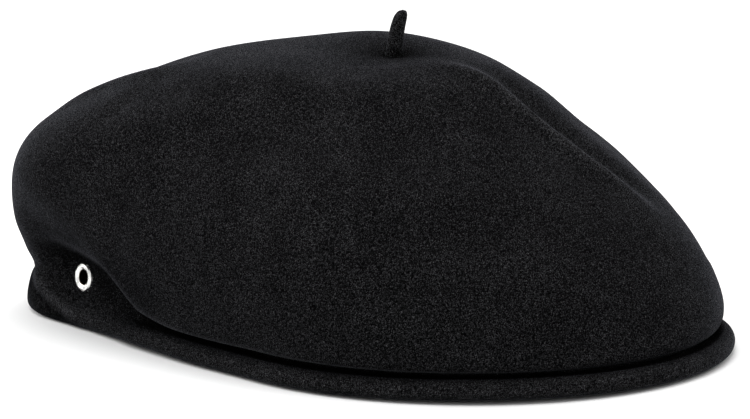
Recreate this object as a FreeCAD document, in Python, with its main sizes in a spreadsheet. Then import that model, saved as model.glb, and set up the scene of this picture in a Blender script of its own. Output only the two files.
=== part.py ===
import FreeCAD
import Part

import math
import os

import Sketcher

# A moulded wool-felt beret with a rolled edge, a stalk at its crown, and one vent eyelet on each side.
# Frame: +Z up, front towards -Y, wearer's left towards +X, and the origin at the middle of the plane that
# the rolled edge rests on. Everything is in millimetres and degrees.
#
# Each level of the felt is an oval: a wide circle in front, a narrower one behind, and the two straight
# tangents that join them. A "reach" is how far a circle's outer point lies from the origin along Y, and a
# tilt turns the level about X, so that it rises towards the back.

V = FreeCAD.Vector
DOC = FreeCAD.newDocument("beret")

# ---------------------------------------------------------------------------------------------------------
# Driving dimensions
# ---------------------------------------------------------------------------------------------------------

SECTION_FIELDS = ("front_reach", "front_radius", "back_reach", "back_radius", "level", "tilt", "wall_drop")
SECTIONS = {
    "hem": (114.0, 77.5, 114.0, 34.5, 0.0, 0.0, 0.0),
    "fold": (113.0, 75.5, 112.5, 32.5, 16.75, 5.1, 0.0),
    "bulge": (116.5, 84.0, 119.0, 50.0, 27.0, 5.5, 0.2),
    "belly": (107.0, 83.0, 121.0, 61.0, 40.0, 3.4, 0.7),
    "shoulder": (89.0, 74.0, 111.5, 65.0, 56.0, 2.0, 1.2),
    "brow": (63.0, 56.0, 89.0, 59.0, 72.5, 0.9, 1.8),
    "cap": (44.0, 40.0, 56.0, 43.0, 84.3, 0.5, 2.2),
    "top": (31.0, 25.0, 32.0, 25.0, 89.8, 0.2, 2.4),
    "seat": (21.0, 9.0, 3.0, 8.0, 88.8, 0.0, 3.0),
}
DOME = ("fold", "bulge", "belly", "shoulder", "brow", "cap", "top", "seat")

DIMENSIONS = {
    "felt": 2.2,
    "roll_overhang": 6.0,
    "roll_height": 6.0,
    "roll_rounding": 2.6,
    "ribbon_gap": 1.3,
    "ribbon_thick": 0.9,
    "ribbon_bottom": 1.6,
    "ribbon_height": 21.0,
    "ribbon_lean": 2.0,
    "label_gap": 0.05,
    "label_thick": 0.5,
    "join_width": 9.0,
    "join_height": 17.4,
    "join_level": 4.7,
    "size_width": 12.0,
    "size_height": 10.0,
    "size_level": 12.0,
    "care_width": 24.0,
    "care_height": 15.0,
    "care_level": 6.5,
    "stitch_pitch": 5.0,
    "stitch_length": 3.2,
    "stitch_radius": 0.22,
    "stitch_clearance": 0.12,
    "stitch_level": 4.0,
    "eyelet_level": 15.0,
    "eyelet_behind": 82.8,
    "eyelet_bore_radius": 2.45,
    "eyelet_barrel_radius": 2.77,
    "eyelet_flange_radius": 4.7,
    "eyelet_flange_rise": 0.95,
    "eyelet_lip_rise": 0.35,
    "eyelet_hole_radius": 2.83,
    "eyelet_seat_radius": 4.9,
    "eyelet_seat_sink": 0.25,
    "washer_radius": 4.1,
    "washer_thick": 0.4,
    "clench_radius": 3.3,
    "clench_thick": 0.5,
    "stalk_ahead": 11.0,
    "stalk_radius": 2.1,
    "stalk_pivot_rise": 1.2,
    "stalk_straight": 8.6,
    "stalk_bend_radius": 18.0,
    "stalk_bend_angle": 18.0,
    "socket_clearance": 0.3,
    "anchor_radius": 5.2,
    "anchor_thick": 1.2,
    "anchor_thread_radius": 0.3,
    "anchor_thread_inner": 1.2,
    "anchor_thread_outer": 4.2,
}

SHEET = DOC.addObject("Spreadsheet::Sheet", "dims")


def fill_sheet():
    """Writes every driving dimension into the spreadsheet, one alias to a row."""
    rows = dict(DIMENSIONS)
    for section, numbers in SECTIONS.items():
        for field, number in zip(SECTION_FIELDS, numbers):
            rows[f"{section}_{field}"] = number
    for row, (alias, number) in enumerate(rows.items(), start=1):
        SHEET.set(f"A{row}", alias)
        SHEET.set(f"B{row}", str(number))
        SHEET.setAlias(f"B{row}", alias)
    DOC.recompute()


class Size:
    """A length or angle: its value now, and the spreadsheet expression that drives it."""

    def __init__(self, value, text):
        self.value = value
        self.text = text

    def __add__(self, other):
        return Size(self.value + other.value, f"{self.text} + {other.text}")

    def __sub__(self, other):
        return Size(self.value - other.value, f"{self.text} - ({other.text})")

    def __neg__(self):
        return Size(-self.value, f"-({self.text})")

    def __mul__(self, factor):
        return Size(self.value * factor, f"({self.text}) * {factor}")


NONE = Size(0.0, "0")


def size(alias):
    """A dimension from the spreadsheet."""
    return Size(float(SHEET.get(alias)), f"dims.{alias}")


fill_sheet()

# ---------------------------------------------------------------------------------------------------------
# Bodies, sketches and features
# ---------------------------------------------------------------------------------------------------------


def new_body(label):
    body = DOC.addObject("PartDesign::Body", label)
    body.Label = label
    return body


def new_sketch(body, name, role="XY_Plane", offset=None):
    """A sketch on one of the body's own origin planes, moved by offset."""
    sketch = body.newObject("Sketcher::SketchObject", name)
    plane = next(f for f in body.Origin.OriginFeatures if f.Role == role)
    sketch.AttachmentSupport = [(plane, "")]
    sketch.MapMode = "FlatFace"
    sketch.AttachmentOffset = offset or FreeCAD.Placement()
    return sketch


def constrain(sketch, name, amount, kind, *places):
    """Adds a dimension and drives it from the spreadsheet."""
    sketch.addConstraint(Sketcher.Constraint(kind, *places, amount.value))
    sketch.renameConstraint(sketch.ConstraintCount - 1, name)
    if "dims." in amount.text:
        sketch.setExpression(f"Constraints.{name}", amount.text)


def circle_sketch(body, name, radius, offset):
    """A circle about the sketch's own origin."""
    sketch = new_sketch(body, name, "XY_Plane", offset)
    sketch.addGeometry(Part.Circle(V(0, 0, 0), V(0, 0, 1), radius.value), False)
    sketch.addConstraint(Sketcher.Constraint("Coincident", 0, 3, -1, 1))
    constrain(sketch, "radius", radius, "Radius", 0)
    return sketch


def feature(body, kind, name, profile, **lengths):
    """A sketch-based feature, its lengths driven from the spreadsheet."""
    item = body.newObject(kind, name)
    item.Profile = profile
    for key, amount in lengths.items():
        if isinstance(amount, Size):
            item.setExpression(key, amount.text)
        else:
            setattr(item, key, amount)
    DOC.recompute()
    return item


def loft(body, kind, name, sketches, ruled=False):
    item = body.newObject(kind, name)
    item.Profile = (sketches[0], [""])
    item.Sections = [(sketch, [""]) for sketch in sketches[1:]]
    item.Ruled = ruled
    DOC.recompute()
    return item


def oval(section, inset):
    """(front centre ahead of the origin, front radius, back centre behind it, back radius)"""
    front_radius = size(f"{section}_front_radius")
    back_radius = size(f"{section}_back_radius")
    ahead = size(f"{section}_front_reach") - front_radius
    behind = size(f"{section}_back_reach") - back_radius
    return ahead, front_radius - inset, behind, back_radius - inset


def oval_sketch(body, name, section, inset=NONE, level=NONE):
    """A section's oval, made smaller all round by inset and moved up by level."""
    tilt = size(f"{section}_tilt")
    height = size(f"{section}_level") + level
    turn = FreeCAD.Rotation(V(1, 0, 0), tilt.value)
    sketch = new_sketch(body, name, "XY_Plane", FreeCAD.Placement(V(0, 0, height.value), turn))
    sketch.setExpression("AttachmentOffset.Base.z", height.text)
    if tilt.value:
        sketch.setExpression("AttachmentOffset.Rotation.Angle", tilt.text)

    ahead, front_radius, behind, back_radius = oval(section, inset)
    slant = math.asin((front_radius.value - back_radius.value) / (ahead.value + behind.value))
    up = V(0, 0, 1)
    front = V(0, -ahead.value, 0)
    back = V(0, behind.value, 0)
    right = V(math.cos(slant), math.sin(slant), 0)
    left = V(-math.cos(slant), math.sin(slant), 0)
    front_circle = Part.Circle(front, up, front_radius.value)
    back_circle = Part.Circle(back, up, back_radius.value)
    sides = (
        Part.ArcOfCircle(front_circle, math.pi - slant, 2 * math.pi + slant),
        Part.LineSegment(front + right * front_radius.value, back + right * back_radius.value),
        Part.ArcOfCircle(back_circle, slant, math.pi - slant),
        Part.LineSegment(back + left * back_radius.value, front + left * front_radius.value),
    )
    for side in sides:
        sketch.addGeometry(side, False)
    for index in range(4):
        sketch.addConstraint(Sketcher.Constraint("Tangent", index, 2, (index + 1) % 4, 1))
    for arc in (0, 2):
        sketch.addConstraint(Sketcher.Constraint("PointOnObject", arc, 3, -2))
    constrain(sketch, "ahead", ahead, "DistanceY", 0, 3, -1, 1)
    constrain(sketch, "behind", behind, "DistanceY", -1, 1, 2, 3)
    constrain(sketch, "front_radius", front_radius, "Radius", 0)
    constrain(sketch, "back_radius", back_radius, "Radius", 2)
    return sketch


def ring_edges(shape):
    """The names of the edges that lie level."""
    return [f"Edge{i}" for i, edge in enumerate(shape.Edges, start=1) if edge.BoundBox.ZLength < 0.01]


# ---------------------------------------------------------------------------------------------------------
# Eyelets: where they sit on the straight side walls
# ---------------------------------------------------------------------------------------------------------


def side_point(section, behind, side):
    """The point of a section's side tangent at the given distance behind the origin."""
    ahead, front_radius, back, back_radius = (item.value for item in oval(section, NONE))
    slant = math.asin((front_radius - back_radius) / (ahead + back))
    tilt = math.radians(size(f"{section}_tilt").value)
    along = (behind - back) / math.cos(tilt)
    across = (back_radius - along * math.sin(slant)) / math.cos(slant)
    level = size(f"{section}_level").value + behind * math.tan(tilt)
    return V(side * across, behind, level)


def eyelet_place(side):
    """On the felt's outer face: the eyelet's middle, with Z along its axis and pointing outwards."""
    behind = size("eyelet_behind").value
    low = side_point("hem", behind, side)
    high = side_point("fold", behind, side)
    middle = low + (high - low) * (size("eyelet_level").value / high.z)
    along = side_point("hem", behind + 10, side) - low
    outwards = along.cross(high - low) * side
    outwards.normalize()
    if outwards.x * side < 0:
        outwards = -outwards
    return FreeCAD.Placement(middle, FreeCAD.Rotation(V(0, 0, 1), outwards))


def turned_over(place, depth):
    """The same place moved inwards by depth, its Z pointing inwards."""
    flip = FreeCAD.Placement(V(0, 0, -depth), FreeCAD.Rotation(V(1, 0, 0), 180))
    return place.multiply(flip)


def shifted(place, height):
    return place.multiply(FreeCAD.Placement(V(0, 0, height), FreeCAD.Rotation()))


# ---------------------------------------------------------------------------------------------------------
# Crown shell: one piece of fulled felt, from the rolled edge to the stalk's socket
# ---------------------------------------------------------------------------------------------------------

FELT = size("felt")


def build_crown():
    body = new_body("crown_shell")
    roll_outline = oval_sketch(body, "roll_outline", "hem", -size("roll_overhang"))
    roll = feature(body, "PartDesign::Pad", "roll", roll_outline, Length=size("roll_height"))
    rounding = body.newObject("PartDesign::Fillet", "rounding")
    rounding.Base = (roll, ring_edges(roll.Shape))
    rounding.setExpression("Radius", size("roll_rounding").text)
    DOC.recompute()

    outside = [oval_sketch(body, "hem_outside", "hem")]
    inside = [oval_sketch(body, "hem_inside", "hem", FELT)]
    for section in DOME:
        outside.append(oval_sketch(body, f"{section}_outside", section))
        drop = -size(f"{section}_wall_drop")
        inside.append(oval_sketch(body, f"{section}_inside", section, FELT, drop))
    loft(body, "PartDesign::AdditiveLoft", "wall_outside", outside[:2], ruled=True)
    loft(body, "PartDesign::AdditiveLoft", "dome_outside", outside[1:])
    loft(body, "PartDesign::SubtractiveLoft", "wall_inside", inside[:2], ruled=True)
    loft(body, "PartDesign::SubtractiveLoft", "dome_inside", inside[1:])

    for name, side in (("right", -1), ("left", 1)):
        cut_eyelet_hole(body, name, eyelet_place(side))
    cut_socket(body)
    return body


def cut_eyelet_hole(body, name, place):
    """A hole through the wall, with a shallow flat pressed into each face for the metal to sit on."""
    reach = Size(8.0, "8")
    sink = size("eyelet_seat_sink")
    seat = size("eyelet_seat_radius")
    outer = turned_over(place, sink.value)
    inner = shifted(place, sink.value - FELT.value)
    pocket = "PartDesign::Pocket"
    outer_ring = circle_sketch(body, f"outer_ring_{name}", seat, outer)
    feature(body, pocket, f"outer_seat_{name}", outer_ring, Length=reach)
    inner_ring = circle_sketch(body, f"inner_ring_{name}", seat, inner)
    feature(body, pocket, f"inner_seat_{name}", inner_ring, Length=reach)
    hole_ring = circle_sketch(body, f"hole_ring_{name}", size("eyelet_hole_radius"), shifted(place, 5))
    feature(body, pocket, f"hole_{name}", hole_ring, Length=Size(14.0, "14"))


def cut_socket(body):
    """The round hollow that the foot of the stalk turns in."""
    radius = size("stalk_radius") + size("socket_clearance")
    half_round(body, "socket", "PartDesign::Groove", radius)


def half_round(body, name, kind, radius):
    """A ball about the stalk's pivot, made by turning a half disc about the upright axis."""
    pivot = V(0, pivot_height().value, size("stalk_ahead").value)
    sketch = new_sketch(body, f"{name}_profile", "XZ_Plane", FreeCAD.Placement(pivot, FreeCAD.Rotation()))
    arc = Part.ArcOfCircle(Part.Circle(V(0, 0, 0), V(0, 0, 1), radius.value), -math.pi / 2, math.pi / 2)
    sketch.addGeometry(arc, False)
    sketch.addGeometry(Part.LineSegment(V(0, radius.value, 0), V(0, -radius.value, 0)), False)
    sketch.addConstraint(Sketcher.Constraint("Coincident", 0, 2, 1, 1))
    sketch.addConstraint(Sketcher.Constraint("Coincident", 1, 2, 0, 1))
    sketch.addConstraint(Sketcher.Constraint("Coincident", 0, 3, -1, 1))
    sketch.addConstraint(Sketcher.Constraint("Vertical", 1))
    sketch.addConstraint(Sketcher.Constraint("PointOnObject", 1, 1, -2))
    constrain(sketch, "radius", radius, "Radius", 0)
    item = body.newObject(kind, name)
    item.Profile = sketch
    item.ReferenceAxis = (sketch, ["V_Axis"])
    item.Angle = 360
    DOC.recompute()
    return item


def pivot_height():
    return size("seat_level") + size("stalk_pivot_rise")


# ---------------------------------------------------------------------------------------------------------
# Stalk and its fastening under the crown
# ---------------------------------------------------------------------------------------------------------


def build_stalk():
    """A felt stem with a ball foot, upright at first and then leaning to the front."""
    body = new_body("stalk")
    radius = size("stalk_radius")
    half_round(body, "foot", "PartDesign::Revolution", radius)
    ahead = size("stalk_ahead").value
    ring = circle_sketch(body, "stem_ring", radius, FreeCAD.Placement(
        V(0, -ahead, pivot_height().value), FreeCAD.Rotation()))
    straight = size("stalk_straight")
    bend = size("stalk_bend_radius")
    turn = math.radians(size("stalk_bend_angle").value)

    # Seen from the right side plane: x of this sketch runs towards the back and y runs up.
    path = new_sketch(body, "stem_path", "YZ_Plane", FreeCAD.Placement(
        V(-ahead, pivot_height().value, 0), FreeCAD.Rotation()))
    path.addGeometry(Part.LineSegment(V(0, 0, 0), V(0, straight.value, 0)), False)
    centre = V(-bend.value, straight.value, 0)
    path.addGeometry(Part.ArcOfCircle(Part.Circle(centre, V(0, 0, 1), bend.value), 0, turn), False)
    path.addConstraint(Sketcher.Constraint("Coincident", 0, 1, -1, 1))
    path.addConstraint(Sketcher.Constraint("Vertical", 0))
    path.addConstraint(Sketcher.Constraint("Tangent", 0, 2, 1, 1))
    constrain(path, "straight", straight, "DistanceY", 0, 1, 0, 2)
    constrain(path, "bend", bend, "Radius", 1)
    path.addConstraint(Sketcher.Constraint("DistanceY", 0, 2, 1, 2, bend.value * math.sin(turn)))
    path.renameConstraint(path.ConstraintCount - 1, "bend_rise")
    path.setExpression("Constraints.bend_rise", "dims.stalk_bend_radius * sin(dims.stalk_bend_angle)")
    stem = body.newObject("PartDesign::AdditivePipe", "stem")
    stem.Profile = ring
    stem.Spine = (path, ["Edge1", "Edge2"])
    DOC.recompute()

    tip_edges = [
        f"Edge{i}" for i, edge in enumerate(stem.Shape.Edges, start=1)
        if edge.Closed and edge.BoundBox.ZMax > stem.Shape.BoundBox.ZMax - 3
    ]
    tip = body.newObject("PartDesign::Fillet", "tip")
    tip.Base = (stem, tip_edges)
    tip.setExpression("Radius", "dims.stalk_radius * 0.9")
    DOC.recompute()
    return body


def seat_inside_level():
    return size("seat_level") - size("seat_wall_drop")


def build_anchor():
    """A felt disc under the crown that the stalk's threads pull against."""
    body = new_body("stalk_anchor")
    thick = size("anchor_thick")
    level = seat_inside_level() - thick
    place = FreeCAD.Placement(V(0, -size("stalk_ahead").value, level.value), FreeCAD.Rotation())
    ring = circle_sketch(body, "disc_ring", size("anchor_radius"), place)
    feature(body, "PartDesign::Pad", "disc", ring, Length=thick)
    return body


def build_anchor_thread():
    """One straight thread under the disc, repeated round it as a star of stitches."""
    body = new_body("anchor_stitches")
    radius = size("anchor_thread_radius")
    inner = size("anchor_thread_inner")
    length = size("anchor_thread_outer") - inner
    level = seat_inside_level() - size("anchor_thick") - radius
    start = FreeCAD.Placement(
        V(inner.value, -size("stalk_ahead").value, level.value),
        FreeCAD.Rotation(V(0, 1, 0), 90),
    )
    ring = circle_sketch(body, "thread_ring", radius, start)
    feature(body, "PartDesign::Pad", "thread", ring, Length=length)
    return body


# ---------------------------------------------------------------------------------------------------------
# Eyelets and washers
# ---------------------------------------------------------------------------------------------------------


def build_eyelet(name, side):
    """A drawn metal tube with a domed flange outside and its end clenched over the washer inside."""
    body = new_body(f"eyelet_{name}")
    bore = size("eyelet_bore_radius")
    barrel = size("eyelet_barrel_radius")
    flange = size("eyelet_flange_radius")
    sink = size("eyelet_seat_sink")
    grip = FELT - sink - sink
    under_washer = grip + size("washer_thick")
    end = under_washer + size("clench_thick")
    clench = size("clench_radius")
    rise = size("eyelet_flange_rise")
    corners = (
        (bore, -end),
        (clench - size("clench_thick") * 0.5, -end),
        (clench, -under_washer),
        (barrel, -under_washer),
        (barrel, NONE),
        (flange, NONE),
        (flange - rise * 0.15, rise * 0.5),
        (flange - rise * 0.5, rise * 0.87),
        (flange - rise * 1.0, rise),
        (flange - rise * 1.5, rise * 0.87),
        (bore, size("eyelet_lip_rise")),
    )
    revolve_outline(body, "tube", corners)
    body.Placement = shifted(eyelet_place(side), -sink.value)
    return body


def revolve_outline(body, name, corners):
    """Turns a closed outline, given as (radius, height) corners, about the upright axis."""
    sketch = new_sketch(body, f"{name}_outline", "XZ_Plane")
    points = [V(x.value, y.value, 0) for x, y in corners]
    count = len(points)
    for index in range(count):
        sketch.addGeometry(Part.LineSegment(points[index], points[(index + 1) % count]), False)
    for index in range(count):
        sketch.addConstraint(Sketcher.Constraint("Coincident", index, 2, (index + 1) % count, 1))
    for index, (across, height) in enumerate(corners):
        constrain(sketch, f"x{index}", across, "DistanceX", -1, 1, index, 1)
        constrain(sketch, f"y{index}", height, "DistanceY", -1, 1, index, 1)
    item = body.newObject("PartDesign::Revolution", name)
    item.Profile = sketch
    item.ReferenceAxis = (sketch, ["V_Axis"])
    item.Angle = 360
    DOC.recompute()
    return item


def build_washer(name, side):
    body = new_body(f"eyelet_washer_{name}")
    sink = size("eyelet_seat_sink")
    bottom = -(FELT - sink - sink) - size("washer_thick")
    top = -(FELT - sink - sink)
    corners = (
        (size("eyelet_hole_radius"), bottom),
        (size("washer_radius"), bottom),
        (size("washer_radius"), top),
        (size("eyelet_hole_radius"), top),
    )
    revolve_outline(body, "ring", corners)
    body.Placement = shifted(eyelet_place(side), -sink.value)
    return body


# ---------------------------------------------------------------------------------------------------------
# Sweatband: a grosgrain ribbon standing inside the wall, its join, its stitches and its labels
# ---------------------------------------------------------------------------------------------------------

RIBBON_OUT = FELT + size("ribbon_gap")
RIBBON_IN = RIBBON_OUT + size("ribbon_thick")
LEAN = size("ribbon_lean")


def build_ribbon():
    body = new_body("sweatband")
    bottom = size("ribbon_bottom")
    top = bottom + size("ribbon_height")
    outer = [
        oval_sketch(body, "foot_outside", "hem", RIBBON_OUT, bottom),
        oval_sketch(body, "head_outside", "hem", RIBBON_OUT + LEAN, top),
    ]
    inner = [
        oval_sketch(body, "foot_inside", "hem", RIBBON_IN, bottom),
        oval_sketch(body, "head_inside", "hem", RIBBON_IN + LEAN, top),
    ]
    loft(body, "PartDesign::AdditiveLoft", "outside", outer, ruled=True)
    loft(body, "PartDesign::SubtractiveLoft", "inside", inner, ruled=True)
    return body


def build_patch(label, width, height, level, azimuth):
    """A thin patch lying on the inner face of the sweatband's rounded back, azimuth degrees from centre."""
    body = new_body(label)
    behind = oval("hem", NONE)[2]
    lean = LEAN.value / size("ribbon_height").value
    foot = size("hem_back_radius").value - RIBBON_IN.value - size("label_gap").value
    thick = size("label_thick").value
    low = size(level).value
    high = low + size(height).value
    start = size("ribbon_bottom").value
    corners = (
        (foot - (low - start) * lean, low),
        (foot - (high - start) * lean, high),
        (foot - (high - start) * lean - thick, high),
        (foot - (low - start) * lean - thick, low),
    )
    turn = math.degrees(size(width).value / foot)
    place = FreeCAD.Placement(V(0, behind.value, 0), FreeCAD.Rotation(V(0, 0, 1), 90 + azimuth - turn / 2))
    revolve_part(body, corners, turn)
    body.Placement = place
    return body


def revolve_part(body, corners, turn):
    """Turns an outline on the XZ plane through part of a circle, from that plane onwards."""
    sketch = new_sketch(body, "section", "XZ_Plane")
    points = [V(x, y, 0) for x, y in corners]
    count = len(points)
    for index in range(count):
        sketch.addGeometry(Part.LineSegment(points[index], points[(index + 1) % count]), False)
        sketch.addConstraint(Sketcher.Constraint("DistanceX", -1, 1, index, 1, points[index].x))
        sketch.addConstraint(Sketcher.Constraint("DistanceY", -1, 1, index, 1, points[index].y))
    for index in range(count):
        sketch.addConstraint(Sketcher.Constraint("Coincident", index, 2, (index + 1) % count, 1))
    item = body.newObject("PartDesign::Revolution", "patch")
    item.Profile = sketch
    item.ReferenceAxis = (sketch, ["V_Axis"])
    item.Angle = turn
    DOC.recompute()


def oval_walk(inset, pitch):
    """Evenly spaced places along the hem's oval: (point, direction of travel), both level."""
    ahead, front_radius, behind, back_radius = (item.value for item in oval("hem", inset))
    slant = math.asin((front_radius - back_radius) / (ahead + behind))
    straight = (ahead + behind) * math.cos(slant)
    lengths = (
        front_radius * (math.pi + 2 * slant),
        straight,
        back_radius * (math.pi - 2 * slant),
        straight,
    )
    count = round(sum(lengths) / pitch)
    for step in range(count):
        travelled = (step + 0.5) * sum(lengths) / count
        part = 0
        while travelled > lengths[part]:
            travelled -= lengths[part]
            part += 1
        if part == 0:
            angle = math.pi - slant + travelled / front_radius
            centre = V(0, -ahead, 0)
            radius = front_radius
        elif part == 2:
            angle = slant + travelled / back_radius
            centre = V(0, behind, 0)
            radius = back_radius
        else:
            angle = slant if part == 1 else math.pi - slant
            centre = V(0, -ahead, 0) if part == 1 else V(0, behind, 0)
            radius = front_radius if part == 1 else back_radius
        outwards = V(math.cos(angle), math.sin(angle), 0)
        forwards = V(-math.sin(angle), math.cos(angle), 0)
        point = centre + outwards * radius
        if part in (1, 3):
            point += forwards * travelled
        yield point, forwards


def build_ribbon_stitches():
    """Short straight threads on the ribbon's inner face, one solid to each stitch."""
    item = DOC.addObject("Part::Feature", "sweatband_stitches")
    item.Label = "sweatband_stitches"
    radius = size("stitch_radius").value
    length = size("stitch_length").value
    level = size("stitch_level").value
    lean = LEAN.value * (level - size("ribbon_bottom").value) / size("ribbon_height").value
    inset = RIBBON_IN + size("stitch_clearance") + Size(radius + lean, "0")
    threads = []
    for point, forwards in oval_walk(inset, size("stitch_pitch").value):
        start = point - forwards * (length / 2) + V(0, 0, level)
        threads.append(Part.makeCylinder(radius, length, start, forwards))
    item.Shape = Part.makeCompound(threads)
    return item


# ---------------------------------------------------------------------------------------------------------
# Build, check, write
# ---------------------------------------------------------------------------------------------------------


def thread_star(body, count):
    """Repeats a body's shape evenly about the stalk's axis, as one group of separate solids."""
    item = DOC.addObject("Part::Feature", "anchor_stitches_group")
    centre = V(0, -size("stalk_ahead").value, 0)
    copies = []
    for step in range(count):
        copy = body.Shape.copy()
        copy.rotate(centre, V(0, 0, 1), 360.0 * step / count + 22.5)
        copies.append(copy)
    item.Shape = Part.makeCompound(copies)
    return item


def main():
    parts = {
        "crown_shell": build_crown(),
        "stalk": build_stalk(),
        "stalk_anchor": build_anchor(),
        "anchor_stitches": thread_star(build_anchor_thread(), 6),
        "eyelet_right": build_eyelet("right", -1),
        "eyelet_left": build_eyelet("left", 1),
        "eyelet_washer_right": build_washer("right", -1),
        "eyelet_washer_left": build_washer("left", 1),
        "sweatband": build_ribbon(),
        "sweatband_join": build_patch("sweatband_join", "join_width", "join_height", "join_level", 0),
        "sweatband_stitches": build_ribbon_stitches(),
        "size_label": build_patch("size_label", "size_width", "size_height", "size_level", 24),
        "care_label": build_patch("care_label", "care_width", "care_height", "care_level", -36),
    }
    DOC.recompute()
    for item in DOC.Objects:
        if "Invalid" in item.State or "Error" in item.State:
            raise RuntimeError(f"{item.Name} did not build: {item.State}")
    os.makedirs("parts", exist_ok=True)
    for name, item in parts.items():
        shape = item.Shape
        if shape.isNull() or not shape.isValid():
            raise RuntimeError(f"{name} has no sound shape")
        shape.exportStep(f"parts/{name}.step")
        box = shape.optimalBoundingBox()
        print(name, len(shape.Solids), round(shape.Volume, 1), [round(c, 2) for c in (
            box.XMin, box.YMin, box.ZMin, box.XMax, box.YMax, box.ZMax)])


main()
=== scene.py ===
import math

import bmesh
import bpy
import numpy as np
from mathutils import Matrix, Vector


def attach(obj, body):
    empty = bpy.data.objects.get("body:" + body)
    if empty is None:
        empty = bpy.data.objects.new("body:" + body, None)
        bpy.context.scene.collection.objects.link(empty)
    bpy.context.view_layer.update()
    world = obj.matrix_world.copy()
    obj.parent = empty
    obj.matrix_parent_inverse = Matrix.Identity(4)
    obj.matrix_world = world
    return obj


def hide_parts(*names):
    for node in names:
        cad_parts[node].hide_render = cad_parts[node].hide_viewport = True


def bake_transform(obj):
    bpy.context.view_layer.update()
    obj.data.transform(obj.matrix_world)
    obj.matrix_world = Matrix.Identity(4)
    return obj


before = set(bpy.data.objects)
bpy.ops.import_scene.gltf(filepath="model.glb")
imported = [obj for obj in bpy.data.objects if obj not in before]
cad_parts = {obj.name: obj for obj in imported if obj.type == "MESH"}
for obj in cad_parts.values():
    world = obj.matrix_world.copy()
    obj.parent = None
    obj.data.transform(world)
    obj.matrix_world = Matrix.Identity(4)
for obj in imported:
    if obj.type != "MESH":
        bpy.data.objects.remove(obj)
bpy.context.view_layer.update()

MM = 0.001
ROOT = "beret"
STALK_Y = -11.0
AROUND = 480  # columns of the crown's grid, from the front centre by the right side
LOOP_SMOOTHING = 6.0  # sigma in points, where an oval's circles meet its tangents

# Sizes are in millimetres until a mesh is made. +Z is up, -Y the front, -X the wearer's right side.

# ---------------------------------------------------------------------------------------------------------
# Curves and grids
# ---------------------------------------------------------------------------------------------------------


def smooth_loop(values, width):
    """Gaussian smoothing round a closed loop; width is the sigma in samples."""
    gain = np.exp(-2 * (np.pi * np.fft.fftfreq(len(values)) * width) ** 2)
    return np.real(np.fft.ifft(np.fft.fft(values, axis=0) * gain[:, None], axis=0))


def oval(front_reach, front_radius, back_reach, back_radius, count=AROUND):
    """A wide circle in front, a narrow one behind and their tangents, from the front by the right side."""
    ahead, behind = front_reach - front_radius, back_reach - back_radius
    slant = math.asin((front_radius - back_radius) / (ahead + behind))
    a = front_radius * (math.pi / 2 + slant)
    b = (ahead + behind) * math.cos(slant)
    half = a + b + back_radius * (math.pi / 2 - slant)
    run = np.linspace(0, 2 * half, count, endpoint=False)
    s = np.where(run <= half, run, 2 * half - run)
    turn = s / front_radius
    f = np.clip((s - a) / b, 0, 1)
    wide = np.array([front_radius * math.cos(slant), front_radius * math.sin(slant) - ahead])
    narrow = np.array([back_radius * math.cos(slant), back_radius * math.sin(slant) + behind])
    late = (s - a - b) / back_radius + slant
    x = np.where(s < a, front_radius * np.sin(turn),
                 np.where(s < a + b, wide[0] + (narrow[0] - wide[0]) * f,
                          back_radius * np.cos(late)))
    y = np.where(s < a, -ahead - front_radius * np.cos(turn),
                 np.where(s < a + b, wide[1] + (narrow[1] - wide[1]) * f,
                          behind + back_radius * np.sin(late)))
    return smooth_loop(np.stack([np.where(run <= half, -x, x), y], -1), LOOP_SMOOTHING)


def eased(t, knots, values):
    """Smooth interpolation that never swings past the given values."""
    knots = np.asarray(knots, float)
    values = np.asarray(values, float)
    rise = np.diff(values) / np.diff(knots)
    slope = np.zeros(len(values))
    for k in range(1, len(values) - 1):
        if rise[k - 1] * rise[k] > 0:
            slope[k] = 2 * rise[k - 1] * rise[k] / (rise[k - 1] + rise[k])
    k = np.clip(np.searchsorted(knots, t, side="right") - 1, 0, len(knots) - 2)
    h = knots[k + 1] - knots[k]
    u = (t - knots[k]) / h
    return ((2 * u**3 - 3 * u**2 + 1) * values[k] + (u**3 - 2 * u**2 + u) * h * slope[k]
            + (3 * u**2 - 2 * u**3) * values[k + 1] + (u**3 - u**2) * h * slope[k + 1])


def column_shares():
    """Each column's share of the way from the front centre to the back centre, alike on both sides."""
    share = np.arange(AROUND) / AROUND
    return np.where(share <= 0.5, share * 2, 2 - share * 2)


# The shares of that way at which the crown's rings are described
STATIONS = (0.0, 0.25, 0.50, 0.62, 0.69, 0.76, 0.83, 0.90, 1.0)


def spread(values):
    """One value, or values at STATIONS, carried to every column."""
    if isinstance(values, (int, float)):
        return np.full(AROUND, float(values))
    return eased(column_shares(), STATIONS, values)


def outward(loop):
    """Unit vectors square to a loop, pointing away from its middle."""
    along = np.roll(loop, -1, 0) - np.roll(loop, 1, 0)
    normal = np.stack([along[:, 1], -along[:, 0]], -1)
    normal /= np.linalg.norm(normal, axis=1, keepdims=True)
    return normal if np.sum(normal * (loop - loop.mean(0))) > 0 else -normal


def ring(shape, z=None, out=0.0, level=0.0, tilt=0.0):
    """An oval moved outwards by out, lying at z, or at a level that rises by tilt degrees to the back."""
    loop = oval(*shape)
    loop = loop + outward(loop) * spread(out)[:, None]
    height = level + loop[:, 1] * math.tan(math.radians(tilt)) if z is None else spread(z)
    return np.column_stack([loop, height])


def stalk_ring(radius, level):
    """A circle round the stalk's axis."""
    turn = 2 * np.pi * np.arange(AROUND) / AROUND
    return np.column_stack([-radius * np.sin(turn), STALK_Y - radius * np.cos(turn), np.full(AROUND, level)])


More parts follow.
